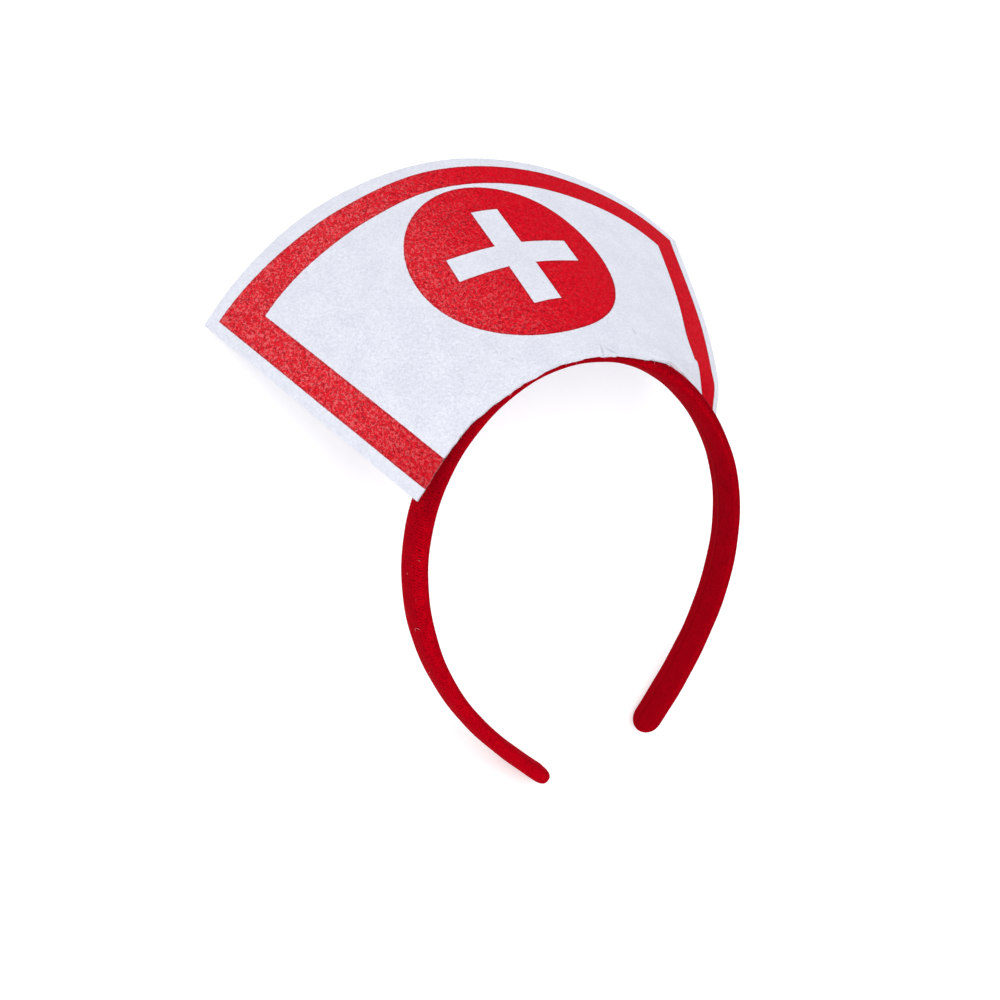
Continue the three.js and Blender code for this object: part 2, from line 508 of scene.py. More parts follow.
@dataclass
class FanShape:
    """The felt's flat pattern and the way it curves over the headband, in metres."""

    hoop: Hoop
    thickness: float = 1.2 * MM
    gap: float = 0.3 * MM
    apex_front: float = 58 * MM
    apex_height: float = 23.7 * MM
    top_half: float = 94.5 * MM
    top_corner: float = 128.5 * MM
    top_middle: float = 155.5 * MM
    foot_half: float = 66 * MM
    foot_corner: float = 43 * MM
    foot_middle: float = 56.7 * MM
    ruled_share: float = 0.5
    ruled_lines: int = 241
    first_lean: float = 0.6
    rounds: int = 6
    rulings: tuple[Array, Array] = field(init=False)

    def __post_init__(self) -> None:
        """Finds the straight lines of the curved felt, with their angles when it lies flat."""
        ruled = np.linspace(0, self.hoop.arm_length * self.ruled_share, self.ruled_lines)
        centre, outward = self.hoop.at(ruled)
        lean = np.full(len(centre), self.first_lean)
        lift = self.gap + self.thickness / 2
        for _ in range(self.rounds):
            front, out = self.hoop.seat(lean)
            seat = centre + outward * (out + lift * np.cos(lean))[:, None]
            seat[:, 1] -= front + lift * np.sin(lean)
            ruling = seat - self.apex
            ruling /= np.linalg.norm(ruling, axis=1)[:, None]
            lean = np.arctan2((ruling * outward).sum(axis=1), ruling[:, 1])
        turns = np.arccos(np.clip((ruling[1:] * ruling[:-1]).sum(axis=1), -1, 1))
        self.rulings = (np.concatenate([[0], np.cumsum(turns)]), ruling)

    @property
    def apex(self) -> Array:
        """Where the straight lines of the felt would meet."""
        return np.array([0.0, -self.apex_front, self.apex_height])

    def direction(self, angle: Array) -> Array:
        """Finds the felt's straight lines at angles from the middle of the flat fan.

        Args:
            angle: The angles.

        Returns:
            Unit directions, one row each.
        """
        angles, ruling = self.rulings
        found = np.stack([np.interp(abs(angle), angles, part) for part in ruling.T], axis=1)
        found /= np.linalg.norm(found, axis=1)[:, None]
        found[:, 0] *= np.where(angle < 0, -1.0, 1.0)
        return found

    def surface(self, x: Array, y: Array, height: Array | float = 0.0) -> Array:
        """Curves flat places into the worn shape.

        Args:
            x: Flat places across the fan.
            y: Flat places along the fan, from its apex.
            height: Height off the middle of the sheet, towards the printed side.

        Returns:
            Points of the worn cap, one row each.
        """
        angle = np.arctan2(x, y)
        beside = 0.004
        direction = self.direction(angle)
        normal = np.cross(self.direction(angle + beside) - self.direction(angle - beside), direction)
        normal /= np.linalg.norm(normal, axis=1)[:, None]
        lift = np.broadcast_to(height, x.shape)[:, None] * normal
        return self.apex + direction * np.hypot(x, y)[:, None] + lift

    @staticmethod
    def arc(x: Array, half: float, corner: float, middle: float) -> Array:
        """Follows an arc over a half chord.

        Args:
            x: Places across.
            half: Half of the chord.
            corner: Reach at the corners.
            middle: Reach in the middle.

        Returns:
            The reach at each place.
        """
        rise = middle - corner
        radius = (half**2 + rise**2) / (2 * rise)
        return middle - radius + np.sqrt(radius**2 - x**2)

    def foot(self, x: Array) -> Array:
        """Tells how far the even foot reaches along the fan at places across."""
        return self.arc(x, self.foot_half, self.foot_corner, self.foot_middle)

    def flat(self, u: Array, v: Array) -> tuple[Array, Array]:
        """Spreads shares over the flat pattern.

        Args:
            u: Shares from -1 at the left side to 1 at the right side.
            v: Shares from 0 at the foot to 1 at the top.

        Returns:
            Flat places across and along the fan.
        """
        foot_x, top_x = u * self.foot_half, u * self.top_half
        foot_y, top_y = self.foot(foot_x), self.arc(top_x, self.top_half, self.top_corner, self.top_middle)
        return foot_x + (top_x - foot_x) * v, foot_y + (top_y - foot_y) * v


@dataclass
class Rest:
    """How the worn cap is turned onto its back on the table."""

    fan: FanShape
    tip_from: float = 0.9
    tip_samples: int = 91
    matrix: Matrix = field(init=False)

    def __post_init__(self) -> None:
        """Turns the tips' backs and the upper corners to one level and sets the band where its solid lies."""
        fan, hoop = self.fan, self.fan.hoop
        corner = self.on_felt(fan.top_half, fan.top_corner, -fan.thickness / 2)
        length = hoop.arm_length * np.linspace(self.tip_from, 1, self.tip_samples)
        centre, _ = hoop.at(length)
        past = np.clip((length - hoop.arm_length + hoop.tip_length) / hoop.tip_length, 0, 1)
        back = hoop.width / 2 * np.sqrt(1 - past**2)
        tilt = float(np.arctan2(corner[1] - back, corner[2] - centre[:, 2]).min())
        turned = Matrix.Rotation(tilt - math.pi / 2, 4, "X")
        lowest = min((turned @ Vector((x, y, z))).z for x, y, z in centre + np.outer(back, (0, 1, 0)))
        far = turned @ Vector(self.on_felt(0.0, fan.top_middle, fan.thickness / 2))
        move = (0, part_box("cap_panel")[1].y - far.y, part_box("headband")[0].z - lowest)
        self.matrix = Matrix.Translation(move) @ turned
        LOG.info("rest: tilt %.2f degrees, moved by %s", math.degrees(tilt), move)

    def on_felt(self, x: float, y: float, height: float) -> Array:
        """Finds one worn point of the felt."""
        return self.fan.surface(np.array([x]), np.array([y]), height)[0]

    def place(self, points: Array) -> Array:
        """Brings worn points, one row each, to where they rest."""
        turn = np.array(self.matrix)
        return points @ turn[:3, :3].T + turn[:3, 3]


# Finishes

@dataclass(frozen=True)
class RibbedVelour:
    """Red velour with fine ribs across the band, measured in millimetres along, across and off its middle."""

    # The ridge and groove colours paint the ribs: the grooves between them get painted shade, on top of their
    # relief. The groove colour is also what every painted shade below blends towards.
    ridge: Colour = srgb(206, 0, 22)
    groove: Colour = srgb(100, 0, 10)
    # Pale red for dust flecks, and for the painted highlight along the seam's lip.
    dust_and_lip_highlight: Colour = srgb(206, 66, 76)
    sheen: Colour = srgb(255, 20, 48)
    rib_pitch: float = 0.86
    rib_lean: Pair = (-0.14, 0.02)
    rib_stray: Triple = (2.2, 0.5, 1.5)
    rib_fullness: float = 0.7
    wale_pitch: float = 1.35
    wale_stray: Pair = (1.5, 0.4)
    wale_depth: Pair = (0.7, 0.3)
    drift: Grain = Grain(0.13)
    waver: Grain = Grain(0.8, 1.0)
    jag: Grain = Grain(1.0, 1.0, stretch=(0.35, 1.25, 0.5))
    gaps: Grain = Grain(1.5, stretch=(0.55, 1.3, 1.0))
    pile: Grain = Grain(2.6, 3.0, 0.5)
    tuft: Grain = Grain(7.0)
    patch: Grain = Grain(0.22, 3.0, 0.6)
    outer_face: Ramp = (-1.2, 1.2)
    inner_face: Ramp = (-0.5, -1.7)
    gap_depth: Ramp = (0.34, 0.68, 0.2, 1.0)
    front_depth: Ramp = (5.0, -1.0, 0.65, 1.0)
    lower_depth: Ramp = (100.0, 160.0, 1.0, 0.7)
    inner_depth: float = 0.35
    tones: tuple[float, ...] = (0.95, 0.5, 0.3, 0.35, 0.82)
    seam_across: float = 0.5
    seam_drift: float = 1.1
    fold: Ramp = (0.4, 0.1)
    lip: Ramp = (0.5, 0.1)
    lip_beside: float = 0.55
    lip_end: Ramp = (135.0, 90.0)
    # How strongly the seam's crease gets painted shade and its lip a painted highlight.
    seam_shade_and_highlight: Pair = (0.3, 0.16)
    fleck: tuple[Ramp, Ramp] = ((0.7, 0.78), (0.5, 0.65, 0.0, 0.4))
    # Painted shadow of the felt's foot on the band's front face, where the foot lies over it.
    tuck: tuple[Ramp, Ramp, Ramp] = ((-1.5, 1.2), (-2.0, -5.0), (78.0, 60.0, 0.0, 0.55))
    inner_shade: float = 0.3
    # Painted shade: the left arm's outer face behind its front edge, and the right arm away from the top, are
    # painted darker.
    left_painted_shade: tuple[Ramp, Ramp] = ((-5.6, -2.5), (-45.0, -75.0, 0.0, 0.2))
    right_painted_shade: Ramp = (35.0, 90.0, 0.0, 0.33)
    heights: tuple[float, ...] = (0.1, 0.1, 0.04, 0.1, 0.12)
    roughness: Pair = (0.95, 0.06)
    relief_depth: float = 0.8

    def ribs(self, bench: Bench, run: Value, across: Value, out: Value, drift: Value) -> Value:
        """Draws the ribs, which lean on the outer face, waver, break off and fade towards the tips.

        Args:
            bench: The finish's nodes.
            run: Length from the top.
            across: Place across the band.
            out: Height off the middle.
            drift: Slow stray of the fabric.

        Returns:
            1 on a rib, less between two of them.
        """
        place = bench.place(run, across, out)
        waver = bench.noise(place, self.waver) - 0.5
        jag = bench.noise(place, self.jag) - 0.5
        lean = (across * self.rib_lean[0] + across * across * self.rib_lean[1]) * out.rise(*self.outer_face)
        stray = drift * self.rib_stray[0] + waver * self.rib_stray[1] + jag * self.rib_stray[2]
        rib = ((run + lean + stray) * (math.tau / self.rib_pitch)).swing() ** self.rib_fullness
        wale_stray = drift * self.wale_stray[0] + waver * self.wale_stray[1]
        wale = ((across + wale_stray) * (math.tau / self.wale_pitch)).swing()
        depth = bench.noise(place, self.gaps).rise(*self.gap_depth)
        depth = depth * (wale * self.wale_depth[1] + self.wale_depth[0])
        depth = depth * (1.0 - out.rise(*self.inner_face) * self.inner_depth)
        depth = depth * across.rise(*self.front_depth) * abs(run).rise(*self.lower_depth)
        return 1.0 - (1.0 - rib) * depth

    def make(self) -> bpy.types.Material:
        """Lays out the velour from the length along the band and the place across it.

        Returns:
            The material.
        """
        bench = Bench("ribbed_velour_red")
        run, across, out = bench.millimetres("run", "across", "out")
        place = bench.place(run, across, out)
        drift = bench.noise(place, self.drift) - 0.5
        ribbed = self.ribs(bench, run, across, out, drift)
        pile, tuft, patch = (bench.noise(place, grain) for grain in (self.pile, self.tuft, self.patch))
        of_ribs, of_pile, of_tuft, of_patch, less = self.tones
        tone = ribbed * of_ribs + pile * of_pile + tuft * of_tuft + patch * of_patch - less
        # Painted shade: the body is darker in the ribs' grooves than on their ridges; pile, tufts and patches
        # vary the tone at random.
        body = bench.blend(tone.at_least(0.0).at_most(1.0), self.groove, self.ridge)
        inner = out.rise(*self.inner_face)
        # Along the seam on the inner face, the crease is painted darker as painted shade and the lip lighter
        # as a painted highlight.
        off_seam = across - self.seam_across - drift * self.seam_drift
        fold = abs(off_seam).rise(*self.fold) * inner
        lip = abs(off_seam - self.lip_beside).rise(*self.lip) * inner * abs(run).rise(*self.lip_end)
        creased = bench.blend(fold * self.seam_shade_and_highlight[0], body, self.groove)
        lined = bench.blend(lip * self.seam_shade_and_highlight[1], creased, self.dust_and_lip_highlight)
        dusty = bench.blend(tuft.rise(*self.fleck[0]) * pile.rise(*self.fleck[1]), lined, self.dust_and_lip_highlight)
        # Painted shade: a shadow of the felt's foot on the band below it, and a darker inner face.
        tuck = out.rise(*self.tuck[0]) * across.rise(*self.tuck[1]) * abs(run).rise(*self.tuck[2])
        shaded = bench.blend((inner * self.inner_shade).at_least(tuck), dusty, self.groove)
        # Painted shade on both arms, stronger on the right.
        left_painted_shade = out.rise(*self.outer_face) * across.rise(*self.left_painted_shade[0]) * run.rise(*self.left_painted_shade[1])
        colour = bench.blend(left_painted_shade + run.rise(*self.right_painted_shade), shaded, self.groove)
        of_ribs, of_pile, of_tuft, of_lip, of_fold = self.heights
        relief = ribbed * of_ribs + pile * of_pile + tuft * of_tuft + lip * of_lip - fold * of_fold
        shader = {
            "Base Color": colour,
            "Roughness": self.roughness[0] - ribbed * self.roughness[1],
            "Specular IOR Level": 0.01,
            "Sheen Weight": 0.1,
            "Sheen Roughness": 0.4,
            "Sheen Tint": self.sheen,
        }
        return bench.finish(shader, relief, self.relief_depth)


@dataclass(frozen=True)
class TopDrop:
    """How much lower the upper edge and its border lie beside the middle, in millimetres of the flat pattern.

    The left side has the drop, where it starts and is full, and where it falls again and ends.
    """

    left: tuple[float, float, float, float, float] = (1.7, 4.0, 40.0, 50.0, 93.0)
    right: Triple = (1.8, 6.0, 52.0)

    def at(self, x: Value | Array) -> Value | Array:
        """Draws the drop, in the nodes of the print or for the cut of the sheet.

        Args:
            x: Places across the fan.

        Returns:
            The drop there.
        """
        drop, start, full, fall, end = self.left
        left = rise_of(x, -start, -full) * rise_of(x, -end, -fall) * drop
        drop, start, full = self.right
        return left + rise_of(x, start, full) * drop


@dataclass(frozen=True)
class Print:
    """The red print on the felt, in millimetres of the flat pattern.

    An arc has half its chord, and its reach at the corners and in the middle. A side has its lower and upper
    end. On the right, the inner side has a step and a spread, and the outer side has a flare. The step and the
    flare begin with their place along the fan.
    """

    border_out: Triple = (90.1, 126.8, 151.2)
    border_in: Triple = (76.9, 120.0, 142.1)
    side_out: Quad = (61.9, 43.7, 90.1, 126.5)
    side_in: Quad = (52.3, 48.0, 76.9, 120.0)
    step: Pair = (63.8, 1.5)
    step_blur: float = 0.5
    flare: Pair = (59.5, 1.2)
    flare_blur: float = 3.5
    spread: Ramp = (60.0, 49.0, 0.0, 1.1)
    top_drop: TopDrop = TopDrop()
    disc: Triple = (1.3, 104.7, 35.7)
    cross_middle: Pair = (2.8, 105.9)
    cross_arm: float = 22.3
    cross_half_width: float = 4.95
    cross_turn: float = math.radians(-1.7)
    left_arm: Pair = (0.06, 0.066)
    squeeze: float = 0.95

    @staticmethod
    def outside_arc(x: Value, y: Value, arc: Triple) -> Value:
        """Measures how far a place lies outside an arc.

        Args:
            x: Place across the fan.
            y: Place along the fan.
            arc: Half chord, corner reach and middle reach.

        Returns:
            The distance, negative inside.
        """
        half, corner, middle = arc
        rise = middle - corner
        radius = (half**2 + rise**2) / (2 * rise)
        return (x * x + (y - (middle - radius)) ** 2.0).math("SQRT") - radius

    @staticmethod
    def outside_side(x: Value, y: Value, ends: Quad) -> Value:
        """Measures how far a place lies outside a slanted side.

        Args:
            x: Place across the fan, without its sign.
            y: Place along the fan.
            ends: The side's lower and upper end.

        Returns:
            The distance, negative inside.
        """
        x0, y0, x1, y1 = ends
        length = math.hypot(x1 - x0, y1 - y0)
        return (x - x0) * ((y1 - y0) / length) - (y - y0) * ((x1 - x0) / length)

    def outside_border(self, x: Value, y: Value) -> Value:
        """Measures how far a place lies outside the border.

        Args:
            x: Place across the fan.
            y: Place along the fan.

        Returns:
            The distance, negative on the ink.
        """
        width = abs(x)
        on_right = x.rise(0.0, 1.0)
        low, more = self.flare
        flare = y.rise(low + self.flare_blur, low - self.flare_blur) * on_right * more
        outer_side = self.outside_side(width, y, self.side_out) - flare
        outer = self.outside_arc(width, y + self.top_drop.at(x), self.border_out).at_least(outer_side)
        low, more = self.step
        step = y.rise(low + self.step_blur, low - self.step_blur) * on_right * more
        inner_side = self.outside_side(width, y, self.side_in) - step - y.rise(*self.spread) * on_right
        inner_y = y + self.top_drop.at(x * (self.border_out[0] / self.border_in[0]))
        inner = self.outside_arc(width, inner_y, self.border_in).at_least(inner_side)
        return outer.at_least(inner * -1.0)

    def outside_cross(self, x: Value, y: Value) -> Value:
        """Measures how far a place lies outside the cross, whose left arm is longer and dips.

        Args:
            x: Place across the fan.
            y: Place along the fan.

        Returns:
            The distance, negative on the cross.
        """
        off_x, off_y = x - self.cross_middle[0], y - self.cross_middle[1]
        longer, dip = self.left_arm
        on_left = off_x.at_most(0.0)
        level_x = (off_x - on_left * longer) / self.squeeze
        level_y = off_y - on_left * dip
        c, s = math.cos(self.cross_turn), math.sin(self.cross_turn)
        across, along = abs(level_x * c + level_y * s), abs(level_y * c - level_x * s)
        upright = (across - self.cross_half_width).at_least(along - self.cross_arm)
        return upright.at_most((along - self.cross_half_width).at_least(across - self.cross_arm))

    def outside_ink(self, x: Value, y: Value) -> Value:
        """Measures how far a place lies outside the ink.

        Args:
            x: Place across the fan.
            y: Place along the fan.

        Returns:
            The distance, negative on the ink.
        """
        middle_x, middle_y, radius = self.disc
        beside = (x - middle_x) / self.squeeze
        disc = (beside * beside + (y - middle_y) ** 2.0).math("SQRT") - radius
        return self.outside_border(x, y).at_most(disc.at_least(self.outside_cross(x, y) * -1.0))


@dataclass(frozen=True)
class Felt:
    """Thin white non-woven felt, with or without its print, in millimetres of the flat pattern."""

    name: str
    inked: float
    white: Colour = srgb(234, 236, 245)
    shade: Colour = srgb(212, 214, 226)
    red: Colour = srgb(231, 2, 32)
    deep: Colour = srgb(196, 0, 24)
    pit: Colour = srgb(132, 0, 18)
    pale: Colour = srgb(240, 126, 128)
    # Grey of the painted shade in the felt's creases and dents.
    dent_shade: Colour = srgb(150, 150, 158)
    print_on: Print = Print()
    strand: Grain = Grain(1.0, 2.0, 0.9, (0.42, 2.1, 1.0))
    strand_width: Ramp = (0.05, 0.0)
    strand_layers: tuple[Pair, ...] = ((0.35, 3.1), (1.35, 7.7), (-0.75, 12.9), (2.3, 19.4))
    fleck: Grain = Grain(1.15, 3.0, 0.6)
    cloud: Grain = Grain(0.11)
    grain: Grain = Grain(4.5)
    wool: tuple[float, ...] = (0.75, 0.35, 0.1, 0.35)
    wool_tone: Ramp = (0.25, 0.75)
    ink_stray: Pair = (0.28, 0.22)
    ink_edge: Ramp = (0.12, -0.12)
    # The ink gets deeper towards the right side, and towards the foot as painted shade.
    deeper_right: Ramp = (-5.0, 45.0, 0.0, 0.5)
    foot_painted_shade: Ramp = (80.0, 45.0, 0.0, 0.7)
    soak: Pair = (0.8, 0.35)
    soak_tone: Ramp = (0.42, 0.72)
    pits: Grain = Grain(1.3, 1.5, 0.8, (1.0, 0.85, 1.0), 9.3)
    pit_tone: Ramp = (0.52, 0.62)
    pits_left: Ramp = (30.0, -15.0, 0.3, 0.7)
    rim: Ramp = (0.4, 0.1, 0.0, 0.6)
    rim_inside: float = 0.25
    fray: Grain = Grain(1.3, 1.5, 1.1, (1.1, 0.8, 1.0), 4.2)
    fray_tone: Ramp = (0.51, 0.61)
    bare: Pair = (0.25, 0.9)
    # Where the pale fibres in the ink show more: towards the left and the top.
    paler_left: Ramp = (15.0, -45.0, 0.07, 0.51)
    paler_high: Ramp = (40.0, 85.0, 0.55, 1.0)
    heights: tuple[float, ...] = (0.05, 0.16, 0.06, 0.25, 0.05)
    roughness: Pair = (0.97, 0.12)
    relief_depth: float = 0.9

    def fibres(self, bench: Bench, x: Value, y: Value) -> Value:
        """Draws long, thin fibres in a few directions.

        Args:
            bench: The finish's nodes.
            x: Place across the fan.
            y: Place along the fan.

        Returns:
            1 on a fibre and 0 beside it.
        """
        mesh = None
        for turn, layer in self.strand_layers:
            c, s = math.cos(turn), math.sin(turn)
            place = bench.place(x * c + y * s, y * c - x * s)
            strand = abs(bench.noise(place, replace(self.strand, layer=layer)) - 0.5).rise(*self.strand_width)
            mesh = mesh.at_least(strand) if mesh else strand
        return mesh

    def make(self) -> bpy.types.Material:
        """Lays out the felt from its flat pattern.

        Returns:
            The material.
        """
        bench = Bench(self.name)
        x, y = bench.millimetres("flat_x", "flat_y")
        place = bench.place(x, y)
        mesh = self.fibres(bench, x, y)
        fleck, cloud, grain = (bench.noise(place, kind) for kind in (self.fleck, self.cloud, self.grain))
        of_fleck, of_cloud, less, of_mesh = self.wool
        tone = (fleck * of_fleck + cloud * of_cloud - less).rise(*self.wool_tone)
        lit = bench.blend(mesh * of_mesh, bench.blend(tone, self.shade, self.white), self.white)
        # Painted shade: the hollows of some creases and dents are painted grey.
        dent_shaded = bench.blend(bench.attribute("dent_shade"), lit, self.dent_shade)
        stray = (fleck - 0.5) * self.ink_stray[0] + (grain - 0.5) * self.ink_stray[1]
        away = self.print_on.outside_ink(x, y) + stray
        ink = away.rise(*self.ink_edge)
        # Deeper ink towards the right, and painted shade towards the foot.
        thin = x.rise(*self.deeper_right).at_least(y.rise(*self.foot_painted_shade))
        soak = (fleck * self.soak[0] + grain * self.soak[1]).rise(*self.soak_tone) * (1.0 - thin)
        pits = bench.noise(place, self.pits).rise(*self.pit_tone)
        deep = (pits * x.rise(*self.pits_left)).at_least(abs(away + self.rim_inside).rise(*self.rim))
        sunk = bench.blend(deep, bench.blend(soak, self.deep, self.red), self.pit)
        fray = bench.noise(place, self.fray).rise(*self.fray_tone)
        bare = (mesh * self.bare[0] + fray * self.bare[1]).at_most(1.0)
        # Pale fibres through the ink, more towards the upper left.
        dyed = bench.blend(bare * x.rise(*self.paler_left) * y.rise(*self.paler_high), sunk, self.pale)
        of_mesh, of_fleck, of_grain, of_cloud, of_pits = self.heights
        raised = mesh * of_mesh + fleck * of_fleck + grain * of_grain + cloud * of_cloud
        shader = {
            "Base Color": bench.blend(ink * self.inked, dent_shaded, dyed),
            "Roughness": self.roughness[0] - ink * (self.roughness[1] * self.inked),
            "Specular IOR Level": 0.02,
        }
        return bench.finish(shader, raised - pits * ink * of_pits, self.relief_depth)


@dataclass(frozen=True)
class Strand:
    """Loose fibres and lint, as slightly uneven threads."""

    name: str
    tone: Colour
    light: Colour
    patch: Grain = Grain(900.0)
    patch_tone: Ramp = (0.35, 0.65)
    patch_height: float = 0.02
    relief_depth: float = 0.5

    def make(self) -> bpy.types.Material:
        """Lays out the threads.

        Returns:
            The material.
        """
        bench = Bench(self.name)
        patch = bench.noise(bench.own_place(), self.patch)
        colour = bench.blend(patch.rise(*self.patch_tone), self.tone, self.light)
        shader = {"Base Color": colour, "Roughness": 0.9, "Specular IOR Level": 0.2}
        return bench.finish(shader, patch * self.patch_height, self.relief_depth)


# The headband

@dataclass
class Headband:
    """Padded hoop in a ribbed fabric tube, with a lapped seam along its inner face."""

    hoop: Hoop
    rest: Rest
    section_points: int = 64
    spans: int = 58
    steps_in_span: int = 2
    tip_rings: int = 9
    tip_share: float = 0.985
    lap_height: float = 0.16 * MM
    lap_rise: Pair = (0.25 * MM, 0.6 * MM)
    lap_fall: Pair = (1.1 * MM, 2.7 * MM)
    swells: tuple[Quad, ...] = ((0.05, 6.1, 0.4, 0.0), (0.045, 2.7, 0.0, 0.5))
    cross_swell: Quad = (0.04, 11.3, 2.0, 0.4)
    sway_blur: float = 6.0
    uneven_from: float = 110 * MM
    longer: Pair = (1.3 * MM, -3.2 * MM)

    def draw_section(self) -> bpy.types.Object:
        """Adds the padded cross-section at the top of the hoop.

        Returns:
            The object that the band is made from.
        """
        bpy.ops.object.select_all(action="DESELECT")
        upright = (0, math.pi / 2, 0)
        bpy.ops.mesh.primitive_circle_add(vertices=self.section_points, radius=1, rotation=upright)
        bpy.ops.object.transform_apply(location=False, rotation=True, scale=False)
        obj = name_piece("headband_fabric")
        points = read_points(obj)
        angle = np.arctan2(points[:, 2], points[:, 1])
        power = 2 / self.hoop.fullness
        across = np.sign(np.cos(angle)) * abs(np.cos(angle)) ** power * self.hoop.width / 2
        out = np.sign(np.sin(angle)) * abs(np.sin(angle)) ** power * self.hoop.thickness / 2
        lap = smooth_step(*self.lap_rise, across) * (1 - smooth_step(*self.lap_fall, across))
        out = np.where(out < 0, out - lap * self.lap_height, out)
        write_points(obj, np.stack([0 * across, across, self.hoop.top_radius + out], axis=1))
        return obj

    def sweep_arm(self, obj: bpy.types.Object) -> None:
        """Spins the section down the right arm in short spans, each with its own bend.

        Args:
            obj: The object with the section.
        """
        span = (self.hoop.arm_length - self.hoop.tip_length) / self.spans
        with editing(obj):
            for i in range(self.spans):
                bend = float(self.hoop.bend_at((i + 0.5) * span))
                centre, outward = self.hoop.at(np.array([i * span]))
                pivot = tuple(centre[0] - outward[0] / bend)
                bpy.ops.mesh.spin(
                    steps=self.steps_in_span, angle=-span * bend,
                    center=pivot, axis=(0, 1, 0), use_auto_merge=False,
                )

    def round_tip(self, obj: bpy.types.Object) -> None:
        """Extrudes the end into a rounded tip and closes it.

        Args:
            obj: The object with the swept arm, its last ring selected.
        """
        reach = self.hoop.arm_length - self.hoop.tip_length
        (old,), _ = self.hoop.at(np.array([reach]))
        width, height = 1.0, 1.0
        with editing(obj, whole=False):
            for i in range(1, self.tip_rings + 1):
                u = math.sin(i / self.tip_rings * math.pi / 2 * self.tip_share)
                (new,), outward = self.hoop.at(np.array([reach + self.hoop.tip_length * u]))
                bpy.ops.mesh.extrude_region_move(TRANSFORM_OT_translate={"value": tuple(new - old)})
                heading = self.hoop.heading(outward)[0]
                axes = Matrix((tuple(heading), (0, 1, 0), tuple(outward[0]))).transposed()
                narrow, low = math.sqrt(1 - u**2), math.sqrt(1 - u**3)
                bpy.ops.transform.resize(
                    value=(1, narrow / width, low / height), center_override=tuple(new),
                    orient_type="GLOBAL", orient_matrix=axes, orient_matrix_type="GLOBAL",
                )
                old, width, height = new, narrow, low
            bpy.ops.mesh.extrude_region_move(TRANSFORM_OT_translate={"value": (0, 0, 0)})
            bpy.ops.mesh.merge(type="CENTER")

    def mark_lengths(self, obj: bpy.types.Object, points: Array) -> Array:
        """Stores the length along the band, the place across it and the height off its middle.

        Args:
            obj: The upright band.
            points: Its vertices.

        Returns:
            The signed lengths.
        """
        s, across, out = self.hoop.locate(points)
        run = np.where(points[:, 0] < 0, -s, s)
        for name, values in (("run", run), ("across", across), ("out", out)):
            write_attribute(obj, name, values)
        return run

    def sway(self, length: Array, entry: int) -> Array:
        """Reads, slightly blurred, how the arms stray at lengths from the top in millimetres."""
        return (Sway.at(length - self.sway_blur, entry) + Sway.at(length + self.sway_blur, entry)) / 2

    def soften(self, points: Array, run: Array) -> Array:
        """Gives the fabric slight swells and each arm its own length and sway.

        Args:
            points: Vertices of the upright band.
            run: Their signed lengths along it.

        Returns:
            The moved vertices.
        """
        across = points[:, 1]
        run_mm, across_mm = run / MM, across / MM
        height, long, start, narrow = self.cross_swell
        swell = height * np.sin(run_mm / long + start) * np.cos(across_mm * narrow)
        for height, long, start, tilt in self.swells:
            swell = swell + height * np.sin(run_mm / long + start + across_mm * tilt)
        centre, outward = self.hoop.at(run)
        from_middle = points - centre
        grow = 1 + swell * MM / np.maximum(np.linalg.norm(from_middle, axis=1), MM)
        on_left = run < 0
        left_out, right_out, left_full = (self.sway(abs(run_mm), entry) for entry in (1, 2, 3))
        fuller = 1 + np.where(on_left, left_full, 0)
        out = (from_middle * outward).sum(axis=1) * grow * fuller
        out = out + np.where(on_left, left_out, right_out) * MM
        along = (from_middle * self.hoop.heading(outward)).sum(axis=1)
        left, right = self.longer
        share = smooth_step(self.uneven_from, self.hoop.arm_length, abs(run))
        centre, outward = self.hoop.at(run + share * np.where(on_left, -left, right))
        moved = centre + outward * out[:, None] + self.hoop.heading(outward) * along[:, None]
        moved[:, 1] += across * grow * np.where(across < 0, fuller, 1)
        return moved

    def build(self) -> None:
        """Makes, dresses and hands over the band."""
        obj = self.draw_section()
        self.sweep_arm(obj)
        self.round_tip(obj)
        apply_modifier(obj, "MIRROR", use_axis=(True, False, False), use_clip=True, merge_threshold=1e-6)
        with editing(obj):
            bpy.ops.mesh.normals_make_consistent(inside=False)
        points = read_points(obj)
        write_points(obj, self.rest.place(self.soften(points, self.mark_lengths(obj, points))))
        settle(obj)
        bpy.ops.object.shade_smooth()
        obj.data.materials.append(RibbedVelour().make())
        hand_over(obj, "headband")


# The felt

@dataclass(frozen=True)
class Mark:
    """A small dent or fold in the felt, in millimetres of the flat pattern, and how much painted shade greys
    its hollow.
    """

    x: float
    y: float
    long: float
    wide: float
    turn: float
    height: float
    dent_shade: float = 0.0

    def share(self, x: Array, y: Array) -> Array:
        """Tells how much of the mark lies at flat places.

        Args:
            x: Places across the fan, in millimetres.
            y: Places along the fan, in millimetres.

        Returns:
            1 in the middle of the mark, fading to 0 around it.
        """
        c, s = math.cos(self.turn), math.sin(self.turn)
        along = ((x - self.x) * c + (y - self.y) * s) / self.long
        across = ((y - self.y) * c - (x - self.x) * s) / self.wide
        return np.exp(-(along**2) - across**2)


@dataclass(frozen=True)
class Ripple:
    """An uneven wave: its height in millimetres, its pace, and how a slower wave sways it."""

    height: float
    pace: float
    sway: float
    slow_pace: float
    slow_start: float = 0.0

    def at(self, along: Array) -> Array:
        """Tells how high the wave stands at places along it."""
        slow = self.sway * np.sin(along * self.slow_pace + self.slow_start)
        return self.height * np.sin(along * self.pace + slow)


